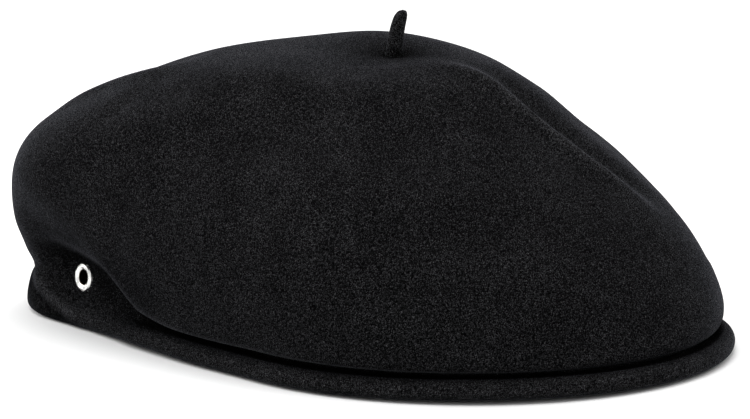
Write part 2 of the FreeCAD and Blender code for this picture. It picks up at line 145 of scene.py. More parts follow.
def skin(rings):
    """Rows of points on a smooth surface through (ring, steps to the next ring)."""
    p = np.stack([r for r, _ in rings])
    knot = np.concatenate([np.zeros((1, p.shape[1])),
                           np.cumsum(np.linalg.norm(np.diff(p, axis=0), axis=2) ** 0.5, 0)])[..., None]
    slope = np.empty_like(p)
    slope[0] = (p[1] - p[0]) / (knot[1] - knot[0])
    slope[-1] = (p[-1] - p[-2]) / (knot[-1] - knot[-2])
    before, after = knot[1:-1] - knot[:-2], knot[2:] - knot[1:-1]
    slope[1:-1] = (p[1:-1] - p[:-2]) / before * after + (p[2:] - p[1:-1]) / after * before
    slope[1:-1] /= before + after
    rows = []
    for k, (_, steps) in enumerate(rings[:-1]):
        h = knot[k + 1] - knot[k]
        for step in range(steps):
            u = step / steps
            rows.append((2 * u**3 - 3 * u**2 + 1) * p[k] + (u**3 - 2 * u**2 + u) * h * slope[k]
                        + (3 * u**2 - 2 * u**3) * p[k + 1] + (u**3 - u**2) * h * slope[k + 1])
    rows.append(p[-1])
    return np.stack(rows)


def grid_normals(grid):
    """Unit normals of a grid that closes round its columns and climbs with its rows."""
    around = np.roll(grid, -1, 1) - np.roll(grid, 1, 1)
    normal = np.cross(around, np.gradient(grid, axis=0))
    normal /= np.linalg.norm(normal, axis=2, keepdims=True) + 1e-12
    return normal if normal[-6:, :, 2].mean() > 0 else -normal


def to_line(points, line):
    """(distance to a polyline, share of the way along it) for each point"""
    line = np.asarray(line, float)
    best = np.full(points.shape[:-1], 1e9)
    share = np.zeros(points.shape[:-1])
    lengths = np.linalg.norm(np.diff(line, axis=0), axis=1)
    done = 0.0
    for a, b, length in zip(line[:-1], line[1:], lengths):
        f = np.clip(((points - a) @ (b - a)) / length**2, 0, 1)
        d = np.linalg.norm(points - (a + f[..., None] * (b - a)), axis=-1)
        nearer = d < best
        best = np.where(nearer, d, best)
        share = np.where(nearer, (done + f * length) / lengths.sum(), share)
        done += length
    return best, share


# ---------------------------------------------------------------------------------------------------------
# Meshes
# ---------------------------------------------------------------------------------------------------------


def add_mesh(name, points, faces):
    """A smooth-shaded object from points in millimetres."""
    mesh = bpy.data.meshes.new(name)
    mesh.from_pydata([tuple(p) for p in np.asarray(points) * MM], [], faces)
    mesh.validate()
    mesh.polygons.foreach_set("use_smooth", [True] * len(mesh.polygons))
    mesh.update()
    thing = bpy.data.objects.new(name, mesh)
    bpy.context.scene.collection.objects.link(thing)
    return thing


def tube_faces(rows, columns, first=0, closed_rows=False):
    """Quads of a grid whose columns close; closed_rows joins the last row to the first."""
    faces = []
    for r in range(rows if closed_rows else rows - 1):
        low = first + r * columns
        high = first + ((r + 1) % rows) * columns
        for c in range(columns):
            d = (c + 1) % columns
            faces.append((low + c, low + d, high + d, high + c))
    return faces


def capped_faces(rows, columns):
    """Quads of a grid whose columns close, with a face over each end."""
    faces = tube_faces(rows, columns)
    faces.append(tuple(reversed(range(columns))))
    faces.append(tuple((rows - 1) * columns + c for c in range(columns)))
    return faces


def recalc_outside(thing):
    """Turns every face to look out of the solid."""
    work = bmesh.new()
    work.from_mesh(thing.data)
    bmesh.ops.recalc_face_normals(work, faces=work.faces)
    work.to_mesh(thing.data)
    work.free()


# ---------------------------------------------------------------------------------------------------------
# Crown
# ---------------------------------------------------------------------------------------------------------

# Ovals: (reach in front, radius in front, reach behind, radius behind)
HEM = (114.0, 77.5, 114.0, 34.5)
FOLD = (113.0, 75.5, 112.5, 32.5)
FELT = 2.2
DISC_SEAT = 85.95  # height of the crown's inner face over the disc under the stalk

# Rows of the crown's outside grid, which the steps in crown_rings() settle
LIP_ROWS = slice(12, 25)
CREASE_ROW = 29
DOME_ROW = 42
TOP_ROW = 57


def crown_rings():
    """The outside from under the rolled edge, round it, up the wall and over the top to the stalk."""
    return [
        (ring(HEM, z=0.9, out=-1.9), 2),
        (ring(HEM, z=0.15, out=-0.9), 3),
        (ring(HEM, z=0.0, out=1.2), 4),
        (ring(HEM, z=0.35, out=(4.0, 4.0, 4.4, 6.2, 6.2, 4.6, 3.8, 5.0, 6.4)), 4),
        (ring(HEM, z=1.5, out=(5.6, 5.6, 6.0, 8.0, 8.0, 6.0, 4.8, 6.4, 7.9)), 4),
        (ring(HEM, z=(3.3, 3.3, 3.3, 3.3, 3.3, 3.3, 3.4, 3.8, 4.4),
              out=(6.0, 6.0, 6.4, 8.4, 8.3, 5.8, 4.6, 6.7, 8.1)), 4),
        (ring(HEM, z=(5.0, 5.0, 5.0, 5.0, 5.0, 5.2, 5.6, 7.4, 9.0),
              out=(5.2, 5.2, 5.6, 7.4, 7.0, 4.4, 3.2, 6.0, 7.4)), 4),
        (ring(HEM, z=(6.1, 6.1, 6.1, 6.1, 6.2, 6.8, 7.8, 10.2, 12.0),
              out=(3.2, 3.2, 3.6, 5.2, 4.8, 2.2, 1.2, 4.9, 6.6)), 4),
        (ring(HEM, z=(6.4, 6.4, 6.4, 6.5, 6.8, 8.2, 10.8, 12.0, 13.6),
              out=(0.4, 0.4, 0.9, 2.4, 2.4, 0.4, -0.6, 3.8, 5.8)), 5),
        (ring(FOLD, z=(6.9, 7.1, 7.3, 7.6, 8.6, 12.6, 16.5, 15.0, 15.8),
              out=(0, 0, 1.3, 3.6, 3.2, 1.2, 0.6, 5.4, 8.0)), 6),
        (ring(FOLD, z=(8.6, 9.0, 9.6, 9.9, 11.4, 18.0, 21.5, 20.5, 19.5),
              out=(2.0, 4.2, 7.0, 9.6, 8.2, 2.8, 3.2, 7.9, 10.2)), 7),
        (ring((116.5, 84.0, 119.0, 50.0), z=(14.5, 15.3, 16.5, 17.8, 20.8, 28.5, 32.0, 30.0, 26.0),
              out=(-0.6, -0.6, 0, 0.9, 0.4, -0.6, 0.6, 3.4, 4.2)), 10),
        (ring((107.0, 83.0, 121.0, 62.0), level=41.0, tilt=3.4), 10),
        (ring((89.0, 74.0, 113.2, 65.0), level=56.0, tilt=2.0), 12),
        (ring((63.0, 56.0, 89.0, 59.0), level=72.5, tilt=0.9), 12),
        (ring((44.0, 40.0, 56.0, 43.0), level=85.0, tilt=0.5), 10),
        (ring((31.0, 25.0, 32.0, 25.0), level=88.8, tilt=0.2), 8),
        (ring((22.0, 11.0, 8.0, 10.0), level=88.9), 6),
        (stalk_ring(5.0, 88.4), 4),
        (stalk_ring(2.6, 88.1), 3),
        (stalk_ring(0.5, 88.0), 1),
    ]


# The sharp turn from the right side wall to the back wall; the left one mirrors it
CORNER = ((-44, 74, 2), (-42, 84, 5), (-38, 95, 9), (-31, 104, 12), (-20, 112, 14))

# The deepest of the hollow beside the right eyelet, where the painted shade is darkest; the left one mirrors
# it
HOLLOW = ((-30, 97, 23), (-36, 86, 24), (-44, 71, 17), (-50, 61, 12))

# The underside of the crown's bulge above that hollow, which gets painted shade
UNDER_BULGE = ((-36, 96, 34), (-50, 72, 31), (-58, 54, 25), (-63, 40, 18))

# Soft ridges (+) and hollows (-) in the felt: (height, width, line along the surface)
FOLDS = (
    # crest down the front centre, the valley beyond it, then the far front's swell and hollow
    (2.9, 3.2, ((-6, -26, 89), (-5, -44, 83), (-4, -62, 72), (-1, -79, 59), (7, -89, 52), (15, -97, 43))),
    (-2.4, 6.0, ((5, -34, 87), (6, -50, 79), (8, -66, 69), (11, -80, 57), (19, -90, 48), (27, -96, 38))),
    (0.9, 11.0, ((34, -32, 83), (38, -50, 73), (40, -66, 60), (38, -80, 48))),
    (-2.6, 13.0, ((34, -44, 78), (40, -62, 64), (46, -78, 48), (48, -92, 34), (44, -102, 21),
                  (38, -108, 13))),
    # crest along the back and the hollow beyond it
    (1.5, 4.2, ((-34, 40, 84), (-31, 56, 82), (-27, 74, 77), (-27, 86, 73), (-24, 102, 62))),
    (-1.4, 6.5, ((-20, 46, 86), (-16, 62, 83), (-13, 80, 77), (-10, 100, 66))),
    # shelf across the right side with the slacker felt under it
    (2.1, 9.0, ((-70, 10, 59), (-69, -14, 60), (-67, -34, 57), (-60, -56, 54), (-48, -72, 52))),
    (-1.8, 9.0, ((-78, -20, 46), (-74, -44, 45), (-62, -66, 43), (-44, -84, 42))),
    (-1.0, 8.0, ((-30, -96, 38), (-12, -104, 36), (6, -106, 36))),
    # dents and swells on the back quarter
    (-1.2, 7.0, ((-45, 66, 76), (-53, 44, 77), (-57, 26, 75))),
    (1.0, 7.0, ((-60, 60, 66), (-60, 36, 71), (-58, 14, 75))),
    (-1.0, 8.0, ((-70, 52, 50), (-74, 34, 52), (-77, 12, 50))),
    # the sharp turn from side wall to back wall
    (1.7, 1.6, CORNER),
    (1.7, 1.6, tuple((-x, y, z) for x, y, z in CORNER)),
    # the fullness of both sides above the waist
    (2.0, 15.0, ((-80, -6, 42), (-77, 26, 43), (-72, 52, 45))),
    (2.0, 15.0, ((80, -6, 42), (77, 26, 43), (72, 52, 45))),
    # the left side, which sags in its own way
    (1.4, 10.0, ((68, 24, 60), (70, -8, 60), (64, -44, 56), (48, -70, 53))),
    (-1.2, 9.0, ((78, 10, 44), (77, -26, 43), (64, -62, 42))),
    (-1.0, 8.0, ((50, 58, 75), (57, 34, 74))),
)


# Places where the rolled edge lifts: (x, y, height, width)
EDGE_LIFTS = ((-62, -86, 0.6, 30), (-56, 50, 0.6, 18))

# Places where the top stands fuller or flatter: (x, y, height, width)
TOP_SWELLS = ((22, 6, 3.2, 17), (6, 40, 0.4, 17), (26, -38, -0.3, 13), (-27, -14, -2.3, 15))


def swell(grid, x, y, height, width):
    """Raises the top round a place by height, dying away over width."""
    grid[..., 2] += height * np.exp(-0.5 * ((grid[..., 0] - x) ** 2 + (grid[..., 1] - y) ** 2) / width**2)


def lift_edge(grid):
    """Raises the rolled edge a little where the felt doesn't quite lie on the ground."""
    low = np.clip(1 - (grid[..., 2] - 4) / 12, 0, 1)
    for x, y, height, width in EDGE_LIFTS:
        away = (grid[..., 0] - x) ** 2 + (grid[..., 1] - y) ** 2
        grid[..., 2] += height * low * np.exp(-0.5 * away / width**2)


def on_surface(grid, place):
    """The grid's point nearest to a place."""
    points = grid.reshape(-1, 3)
    return points[np.argmin(np.linalg.norm(points - place, axis=1))]


def crown_outside():
    """(the outside grid with its folds, how sharp a crest each point stands on, which sets the painted
    highlight there)
    """
    grid = skin(crown_rings())
    lift_edge(grid)
    for place in TOP_SWELLS:
        swell(grid[TOP_ROW:], *place)
    normal = grid_normals(grid)
    shift = np.zeros(grid.shape[:2])
    crest_highlight = np.zeros(grid.shape[:2])
    for height, width, line in FOLDS:
        away, share = to_line(grid, [on_surface(grid, place) for place in line])
        end = np.clip(np.minimum(share, 1 - share) / 0.3, 0, 1)
        along = end * end * (3 - 2 * end)
        shift += height * along * np.exp(-0.5 * (away / width) ** 2)
        # sharp crests get a painted highlight in the felt's tone
        if height > 0 and width < 4:
            crest_highlight = np.maximum(crest_highlight, along * np.exp(-0.5 * (away / width / 0.7) ** 2))
    return grid + normal * shift[..., None], crest_highlight


def painted_light_of(outside, crest_highlight):
    """Painted light in the felt's tone: painted highlight (+) on sharp crests and the rolled edge, painted
    shade (-) in the crease, the hollow, under the bulge, on the back wall below the corner and round the
    stalk's foot.
    """
    # painted shade in the crease over the rolled edge, by how far it reaches at STATIONS; it ends before the
    # corner
    from_crease = np.linalg.norm(outside - outside[CREASE_ROW], axis=2)
    crease_shade = np.exp(-(from_crease / spread((1.8, 1.8, 2.0, 2.5, 3.2, 5.0, 6.0, 4.0, 2.0))) ** 2)
    crease_shade = crease_shade * np.clip((0.77 - column_shares()) / 0.09, 0, 1)
    # painted shade in the hollow, under the bulge and on the back wall below the corner, alike on both sides
    mirrored = np.stack([-np.abs(outside[..., 0]), outside[..., 1], outside[..., 2]], -1)
    hollow_shade = np.exp(-((to_line(mirrored, HOLLOW)[0] / 7) ** 2))
    shade = np.exp(-((to_line(mirrored, UNDER_BULGE)[0] / 8) ** 2))
    # painted shade on the back wall below the corner's ridge
    away, along = to_line(mirrored, CORNER)
    ridge_level = np.interp(along, (0, 1), (CORNER[0][2], CORNER[-1][2]))
    below = np.clip((ridge_level - outside[..., 2] - 0.5) / 2.5, 0, 1)
    back = below * np.exp(-((away / 13) ** 2)) * np.clip(along / 0.2, 0, 1)
    # a painted highlight on the rolled edge, painting it paler
    lip_highlight = np.zeros(outside.shape[:2])
    lip_highlight[LIP_ROWS] = np.sin(np.linspace(0, np.pi, LIP_ROWS.stop - LIP_ROWS.start))[:, None]
    # painted shade round the stalk's foot, on the top only
    from_stalk = np.hypot(outside[..., 0], outside[..., 1] - STALK_Y)
    foot = 0.07 * np.exp(-((from_stalk / 17) ** 2)) + 0.05 * np.exp(-((from_stalk / 5) ** 2))
    foot = foot * (outside[..., 2] > 60)
    # painted shade: the darkest of the painted shade masks above
    painted_shade = np.maximum.reduce([0.16 * crease_shade, 0.10 * hollow_shade, 0.055 * shade, 0.09 * back, foot])
    # painted highlight on crests and the rolled edge, less the painted shade
    return 0.075 * crest_highlight + 0.035 * lip_highlight * (1 - back) - painted_shade * (1 - crest_highlight)


def set_painted_light(thing, values):
    """Keeps the painted light and shade on each point, for the felt's material to read."""
    thing.data.attributes.new("painted_light", "FLOAT", "POINT").data.foreach_set("value", values)


def corners_of(node):
    """A CAD node's vertices in millimetres."""
    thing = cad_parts[node]
    return np.array([thing.matrix_world @ v.co for v in thing.data.vertices]) / MM


FLANGE_EDGE = 4.3  # beyond this far from its axis, an eyelet's flange lies on the felt
FLAT_RADIUS, FLAT_FADE = 5.0, 4.5  # felt pressed flat round an eyelet, and the width over which it fades
WALL_REACH = 6.0  # felt within this distance along an eyelet's axis is the wall that it is set in
CUT_RADIUS, HOLE_RADIUS = 3.3, 2.83  # faces cut away round an eyelet's axis, and the hole's final size


class Eyelet:
    """Where an eyelet stands: its axis pointing out of the wall, and the felt's two faces along it."""

    def __init__(self, side):
        washer = corners_of(f"eyelet_washer_{side}")
        flange = corners_of(f"eyelet_{side}")
        self.middle = (washer.max(0) + washer.min(0)) / 2
        self.axis = np.linalg.svd(washer - washer.mean(0))[2][2]
        between_eyelets = np.array([0, 60.0, 15.0])
        if self.axis @ (self.middle - between_eyelets) < 0:
            self.axis = -self.axis
        along, away = self.measure(flange)
        self.outer = along[away > FLANGE_EDGE].min()
        self.inner = self.measure(washer)[0].max()

    def measure(self, points):
        """(distance along the axis, distance from it) of each point"""
        offset = points - self.middle
        along = offset @ self.axis
        return along, np.linalg.norm(offset - along[..., None] * self.axis, axis=-1)

    def press(self, grid, face):
        """Flattens felt against the eyelet's flange or washer."""
        along, away = self.measure(grid)
        near = np.clip((FLAT_RADIUS + FLAT_FADE - away) / FLAT_FADE, 0, 1)
        near = near * near * (3 - 2 * near) * (np.abs(along - face) < WALL_REACH)
        grid += (near * (face - along))[..., None] * self.axis


EYELETS = (Eyelet("left"), Eyelet("right"))


def cut_holes(thing):
    """Punches the eyelets' holes through both skins and joins the skins round them."""
    work = bmesh.new()
    work.from_mesh(thing.data)
    for eyelet in EYELETS:
        middle = Vector(eyelet.middle * MM)
        axis = Vector(eyelet.axis)

        def split(point):
            """(offset from the axis, distance along it)"""
            offset = point - middle
            along = offset.dot(axis)
            return offset - axis * along, abs(along)

        doomed = []
        for face in work.faces:
            radial, along = split(face.calc_center_median())
            if radial.length < CUT_RADIUS * MM and along < WALL_REACH * MM:
                doomed.append(face)
        rim = {v for f in doomed for v in f.verts}
        bmesh.ops.delete(work, geom=doomed, context="FACES")
        rim = [v for v in rim if v.is_valid]
        for v in rim:
            radial, _ = split(v.co)
            v.co += radial.normalized() * (HOLE_RADIUS * MM - radial.length)
        edges = list({e for v in rim for e in v.link_edges if e.is_boundary})
        bmesh.ops.bridge_loops(work, edges=edges)
    work.to_mesh(thing.data)
    work.free()


def build_crown():
    """The closed felt shell: the outside, the inner face and the hem that joins them."""
    outside, crest_highlight = crown_outside()
    painted_light = painted_light_of(outside, crest_highlight)
    normal = grid_normals(outside)
    # the inner face stands straight beside the sweatband, then follows the outside a felt's thickness in
    foot = skin([
        (ring(HEM, z=1.6, out=-2.2), 3),
        (ring(HEM, z=5.0, out=-2.5), 12),
        (ring(FOLD, z=(7.6, 8.2, 9.0, 10.4, 12.0, 17.0, 20.5, 17.0, 15.0),
              out=(-1.6, -1.6, -1.6, -1.8, -2.0, -2.2, -2.0, 0.6, 3.4)), 1),
    ])
    lift_edge(foot)
    dome = outside[DOME_ROW::3] - normal[DOME_ROW::3] * FELT
    # under the stalk the inner face is brought down to just over the disc
    deeper = dome[-1, 0, 2] - DISC_SEAT
    dome[..., 2] -= deeper * np.exp(-((np.hypot(dome[..., 0], dome[..., 1] - STALK_Y) / 9) ** 2))
    inside = np.concatenate([foot, dome])
    for eyelet in EYELETS:
        eyelet.press(outside, eyelet.outer)
        eyelet.press(inside, eyelet.inner)
    rows_out, rows_in = len(outside), len(inside)
    points = np.concatenate([outside.reshape(-1, 3), inside.reshape(-1, 3)])
    faces = tube_faces(rows_out, AROUND)
    offset = rows_out * AROUND
    faces += [tuple(reversed(f)) for f in tube_faces(rows_in, AROUND, offset)]
    for c in range(AROUND):
        d = (c + 1) % AROUND
        faces.append((d, c, offset + c, offset + d))
    faces.append(tuple((rows_out - 1) * AROUND + c for c in range(AROUND)))
    faces.append(tuple(offset + (rows_in - 1) * AROUND + c for c in reversed(range(AROUND))))
    crown = add_mesh("crown", points, faces)
    set_painted_light(crown, np.concatenate([painted_light.reshape(-1), np.zeros(rows_in * AROUND)]))
    cut_holes(crown)
    recalc_outside(crown)
    return crown


crown = build_crown()
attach(crown, ROOT)
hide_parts("crown_shell")

# ---------------------------------------------------------------------------------------------------------
# Stalk: a felt finger that grows out of the crown, tapers and bends to the front
# ---------------------------------------------------------------------------------------------------------


def build_stalk():
    """A round of felt whose middle line curves forwards as it climbs."""
    columns = 48
    heights = (86.2, 86.8, 87.4, 88.2, 90.0, 92.5, 95.5, 98.0, 99.8, 101.0, 101.9, 102.5, 102.8)
    radii = (4.6, 4.0, 3.4, 2.95, 2.65, 2.5, 2.4, 2.3, 2.2, 2.0, 1.65, 1.15, 0.3)
    fine = np.linspace(0, len(heights) - 1, 61)
    level = np.interp(fine, range(len(heights)), heights)
    radius = eased(fine, range(len(radii)), radii)
    rise = np.clip(level - 88.0, 0, None)
    forward = 0.0135 * rise**2
    turn = 2 * np.pi * np.arange(columns) / columns
    grid = np.stack([
        np.column_stack([r * np.cos(turn), STALK_Y - f + r * np.sin(turn), np.full(columns, z)])
        for f, r, z in zip(forward, radius, level)
    ])
    stalk = add_mesh("stalk_felt", grid.reshape(-1, 3), capped_faces(len(grid), columns))
    # the stalk is painted a little paler all over, with painted shade round its foot
    set_painted_light(stalk, np.repeat(0.06 - 0.15 * np.exp(-(((level - 87.5) / 3.0) ** 2)), columns))
    recalc_outside(stalk)
    return stalk


stalk = build_stalk()
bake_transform(stalk)
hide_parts("stalk")

# ---------------------------------------------------------------------------------------------------------
# Inside: the ribbed ribbon, the tab over its join, the two labels and the disc under the stalk
# ---------------------------------------------------------------------------------------------------------

RIBBON_FOOT, RIBBON_HEAD = 1.6, 22.6
RIBBON_THICKNESS = 0.9
FOOT_INSET, HEAD_LEAN = 3.5, 2.0  # inside the hem's oval at the foot, and how much further in at the head
POINTS_PER_RIB, RIB_DEPTH = 4, 0.16


def ribbon_inset(level):
    """How far inside the hem's oval the ribbon's outer face stands; it leans in a little."""
    return FOOT_INSET + HEAD_LEAN * (level - RIBBON_FOOT) / (RIBBON_HEAD - RIBBON_FOOT)


def build_ribbon():
    """A grosgrain ribbon: ribs standing across it, dying away in the two woven edges."""
    count = 2240
    loop = oval(*HEM, count=count)
    normal = outward(loop)
    dip = RIB_DEPTH * (0.5 - 0.5 * np.cos(2 * np.pi * np.arange(count) / POINTS_PER_RIB))
    # (depth from the outer face, level, which way the ribs cut in)
    rows = [(RIBBON_THICKNESS / 2, RIBBON_FOOT, 0)]
    for level in (1.75, 2.6, 2.9, 21.3, 21.6, 22.45):
        rows.append((0.0, level, 1))
    rows.append((RIBBON_THICKNESS / 2, RIBBON_HEAD, 0))
    for level in (22.45, 21.6, 21.3, 12.0, 2.9, 2.6, 1.75):
        rows.append((RIBBON_THICKNESS, level, -1))
    grid = []
    for depth, level, face in rows:
        ribs = dip * (0.35 if level < 2.7 or level > 21.5 else 1.0) * face
        inset = ribbon_inset(level) + depth + ribs
        grid.append(np.column_stack([loop - normal * inset[:, None], np.full(count, level)]))
    faces = tube_faces(len(grid), count, closed_rows=True)
    ribbon = add_mesh("ribbon", np.concatenate(grid), faces)
    recalc_outside(ribbon)
    return ribbon


PATCH_GAP = 0.95  # from the ribbon's outer face to a patch's back
PATCH_THICKNESS = 0.5
PATCH_RADIUS = HEM[3] - FOOT_INSET - PATCH_GAP
STITCH_MARGIN = 1.2  # from a label's edge to its row of stitches
THREAD_RADIUS = 0.16


def build_patch(name, azimuth, width, low, height, ribs=0):
    """A thin patch on the ribbon's rounded back, with ribs across it or else stitches round it.

    Gives the patch and how many of its faces are cloth, which come before the stitches' faces.
    """
    across, up = 60, max(40, ribs * 6)
    u, v = np.meshgrid(np.linspace(-0.5, 0.5, across + 1), np.linspace(0, 1, up + 1))
    edge = np.minimum((0.5 - np.abs(u)) * width, (0.5 - np.abs(v - 0.5)) * height)
    thick = PATCH_THICKNESS * (0.35 + 0.65 * np.sqrt(np.clip(edge / 0.5, 0, 1)))
    if ribs:
        thick = thick - 0.12 * (0.5 - 0.5 * np.cos(2 * np.pi * ribs * v)) * np.clip(edge / 0.6, 0, 1)
    else:
        thick = thick - 0.12 * np.exp(-(((edge - STITCH_MARGIN) / 0.35) ** 2))

    def place(u, v, depth):
        level = low + v * height
        radius = HEM[3] - ribbon_inset(level) - PATCH_GAP - depth
        angle = math.radians(90 + azimuth) + u * width / PATCH_RADIUS
        return np.stack([radius * np.cos(angle), HEM[2] - HEM[3] + radius * np.sin(angle), level], -1)

    front, back = place(u, v, thick), place(u, v, 0.0)
    points = [front.reshape(-1, 3), back.reshape(-1, 3)]
    wide, total = across + 1, (across + 1) * (up + 1)
    faces = []
    for r in range(up):
        for c in range(across):
            quad = (r * wide + c, r * wide + c + 1, (r + 1) * wide + c + 1, (r + 1) * wide + c)
            faces.append(quad)
            faces.append(tuple(total + i for i in reversed(quad)))
    border = list(range(across)) + [r * wide + across for r in range(up)]
    border += [up * wide + c for c in range(across, 0, -1)] + [r * wide for r in range(up, 0, -1)]
    for i, j in zip(border, border[1:] + border[:1]):
        faces.append((j, i, total + i, total + j))
    cloth = len(faces)
    if not ribs:
        count = 2 * total
        for stitch in stitch_places(width, height, STITCH_MARGIN):
            start, end = (place(np.array(x / width), np.array(z / height), PATCH_THICKNESS)
                          for x, z in stitch)
            tube, quads = capsule(start, end, THREAD_RADIUS)
            points.append(tube)
            faces += [tuple(count + i for i in q) for q in quads]
            count += len(tube)
    patch = add_mesh(name, np.concatenate(points), faces)
    recalc_outside(patch)
    return patch, cloth


def stitch_places(width, height, margin, pitch=2.2, length=1.5):
    """Ends of the stitches round a patch, in millimetres across and up it."""
    for level in (margin, height - margin):
        count = int((width - 2 * margin) / pitch)
        for k in range(count):
            middle = (k + 0.5 - count / 2) * pitch
            yield (middle - length / 2, level), (middle + length / 2, level)
    for side in (-1, 1):
        count = int((height - 2 * margin) / pitch)
        for k in range(count):
            middle = height / 2 + (k + 0.5 - count / 2) * pitch
            across = side * (width / 2 - margin)
            yield (across, middle - length / 2), (across, middle + length / 2)


def capsule(start, end, radius):
    """A short round-ended thread: (points, faces)"""
    along = (end - start) / np.linalg.norm(end - start)
    side = np.cross(along, [0.3, 0.2, 0.9])
    side /= np.linalg.norm(side)
    other = np.cross(along, side)
    rings = []
    for share, size in ((-0.06, 0.25), (0.0, 0.7), (0.12, 1.0), (0.88, 1.0), (1.0, 0.7), (1.06, 0.25)):
        turn = 2 * np.pi * np.arange(8) / 8
        centre = start + (end - start) * share
        rings.append(centre + radius * size * (np.outer(np.cos(turn), side) + np.outer(np.sin(turn), other)))
    return np.concatenate(rings), capped_faces(len(rings), 8)


def build_anchor():
    """The felt disc under the crown, cut round with a softened edge."""
    columns = 64
    turn = 2 * np.pi * np.arange(columns) / columns
    wobble = 1 + 0.012 * np.sin(3 * turn + 1) + 0.008 * np.sin(7 * turn)
    rows = ((0.3, 84.62), (3.0, 84.60), (4.6, 84.62), (5.0, 84.75), (5.13, 85.0), (5.13, 85.4),
            (5.0, 85.65), (4.6, 85.78), (3.0, 85.8), (0.3, 85.8))
    x, y = wobble * np.cos(turn), wobble * np.sin(turn)
    grid = [np.column_stack([r * x, STALK_Y + r * y, np.full(columns, z)]) for r, z in rows]
    disc = add_mesh("anchor_disc", np.concatenate(grid), capped_faces(len(rows), columns))
    recalc_outside(disc)
    return disc


def install(thing, node):
    """Rides a piece on the crown's body in place of its CAD node."""
    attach(thing, ROOT)
    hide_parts(node)


ribbon = build_ribbon()
install(ribbon, "sweatband")
tab, _ = build_patch("ribbon_tab", 0, 9.0, 4.7, 17.4, ribs=16)
install(tab, "sweatband_join")
size_tag, size_cloth = build_patch("size_tag", 24, 12.0, 12.0, 10.0)
install(size_tag, "size_label")
care_tag, care_cloth = build_patch("care_tag", -36, 24.0, 6.5, 15.0)
install(care_tag, "care_label")
anchor = build_anchor()
install(anchor, "stalk_anchor")

# ---------------------------------------------------------------------------------------------------------
# Materials
# ---------------------------------------------------------------------------------------------------------


class Nodes:
    """A small helper for building a node material."""

    def __init__(self, name):
        self.material = bpy.data.materials.new(name)
        self.material.use_nodes = True
        self.tree = self.material.node_tree
        self.shader = next(n for n in self.tree.nodes if n.type == "BSDF_PRINCIPLED")

    def add(self, kind, **values):
        """A node with its sockets, or its own settings, set by name."""
        node = self.tree.nodes.new(kind)
        for key, value in values.items():
            if key in node.inputs:
                node.inputs[key].default_value = value
            else:
                setattr(node, key, value)
        return node

    def link(self, source, out, target, into):
        self.tree.links.new(source.outputs[out], target.inputs[into])

    def texture(self, kind, **values):
        """A texture fixed to the object."""
        texture = self.add(kind, **values)
        self.link(self.add("ShaderNodeTexCoord"), "Object", texture, "Vector")
        return texture

    def combine(self, operation, one, one_out, other, other_out):
        node = self.add("ShaderNodeMath", operation=operation)
        self.link(one, one_out, node, 0)
        self.link(other, other_out, node, 1)
        return node

    def bump(self, source, out, strength, distance):
        bump = self.add("ShaderNodeBump", Strength=strength, Distance=distance)
        self.link(source, out, bump, "Height")
        self.link(bump, "Normal", self.shader, "Normal")

    def map_range(self, source, out, low, high, to_low, to_high):
        node = self.add("ShaderNodeMapRange")
        for key, value in zip(("From Min", "From Max", "To Min", "To Max"), (low, high, to_low, to_high)):
            node.inputs[key].default_value = value
        self.link(source, out, node, "Value")
        return node

    def ramp(self, source, out, stops):
        node = self.add("ShaderNodeValToRGB")
        self.link(source, out, node, "Fac")
        ramp = node.color_ramp
        while len(ramp.elements) < len(stops):
            ramp.elements.new(0.5)
        for element, (place, colour) in zip(ramp.elements, stops):
            element.position = place
            element.color = (*colour, 1.0)
        return node

    def set(self, **values):
        for key, value in values.items():
            self.shader.inputs[key.replace("_", " ")].default_value = value


def grey(value):
    """A grey a little on the blue side."""
    return (value, value, value * 1.06)


def felt_material():
    """Fulled wool: near-black tangled fibres with paler ends, and a faint bloom where it turns away; the
    painted light and shade kept on the mesh lightens or darkens its tone and dims the bloom.
    """
    m = Nodes("wool_felt")
    fibres = m.texture("ShaderNodeTexNoise", Scale=2200.0, Detail=1.0, Roughness=0.65, Distortion=2.0)
    grain = m.texture("ShaderNodeTexNoise", Scale=3800.0, Detail=1.0, Roughness=0.6)
    cloudy = m.texture("ShaderNodeTexNoise", Scale=60.0, Detail=3.0, Roughness=0.55)
    both = m.combine("ADD", fibres, "Fac", grain, "Fac")
    uneven = m.add("ShaderNodeMath", operation="MULTIPLY_ADD")
    uneven.inputs[1].default_value = 0.10
    m.link(cloudy, "Fac", uneven, 0)
    m.link(both, "Value", uneven, 2)
    # painted light and shade read from the mesh, added to the grain before the tone
    painted_light = m.add("ShaderNodeAttribute", attribute_name="painted_light")
    grain_and_painted_light = m.combine("ADD", painted_light, "Fac", uneven, "Value")
    reach = m.map_range(grain_and_painted_light, "Value", 0.83, 1.36, 0.0, 1.0)
    tone = m.ramp(reach, "Result", ((0.0, grey(0.0002)), (0.25, grey(0.0007)), (0.5, grey(0.0034)),
                                    (0.75, grey(0.0175)), (1.0, grey(0.078))))
    m.link(tone, "Color", m.shader, "Base Color")
    # the sheen is dimmed where shade is painted
    shaded_sheen = m.map_range(painted_light, "Fac", -0.10, 0.0, 0.002, 0.085)
    fuzz = m.map_range(both, "Value", 0.80, 1.20, 0.0, 2.0)
    bloom = m.combine("MULTIPLY", shaded_sheen, "Result", fuzz, "Result")
    m.link(bloom, "Value", m.shader, "Sheen Weight")
    m.bump(both, "Value", 0.3, 0.0002)
    m.set(Roughness=1.0, Specular_IOR_Level=0.0, Sheen_Roughness=0.27, Sheen_Tint=(0.86, 0.88, 1.0, 1.0))
    return m.material


def thread_material():
    """Black sewing thread with its twist."""
    m = Nodes("black_thread")
    twist = m.texture("ShaderNodeTexWave", Scale=900.0, Distortion=1.5, bands_direction="DIAGONAL")
    tone = m.ramp(twist, "Fac", ((0.2, grey(0.012)), (0.8, grey(0.045))))
    m.link(tone, "Color", m.shader, "Base Color")
    m.bump(twist, "Fac", 0.5, 0.0001)
    m.set(Roughness=0.6, Specular_IOR_Level=0.35, Sheen_Weight=0.2)
    return m.material


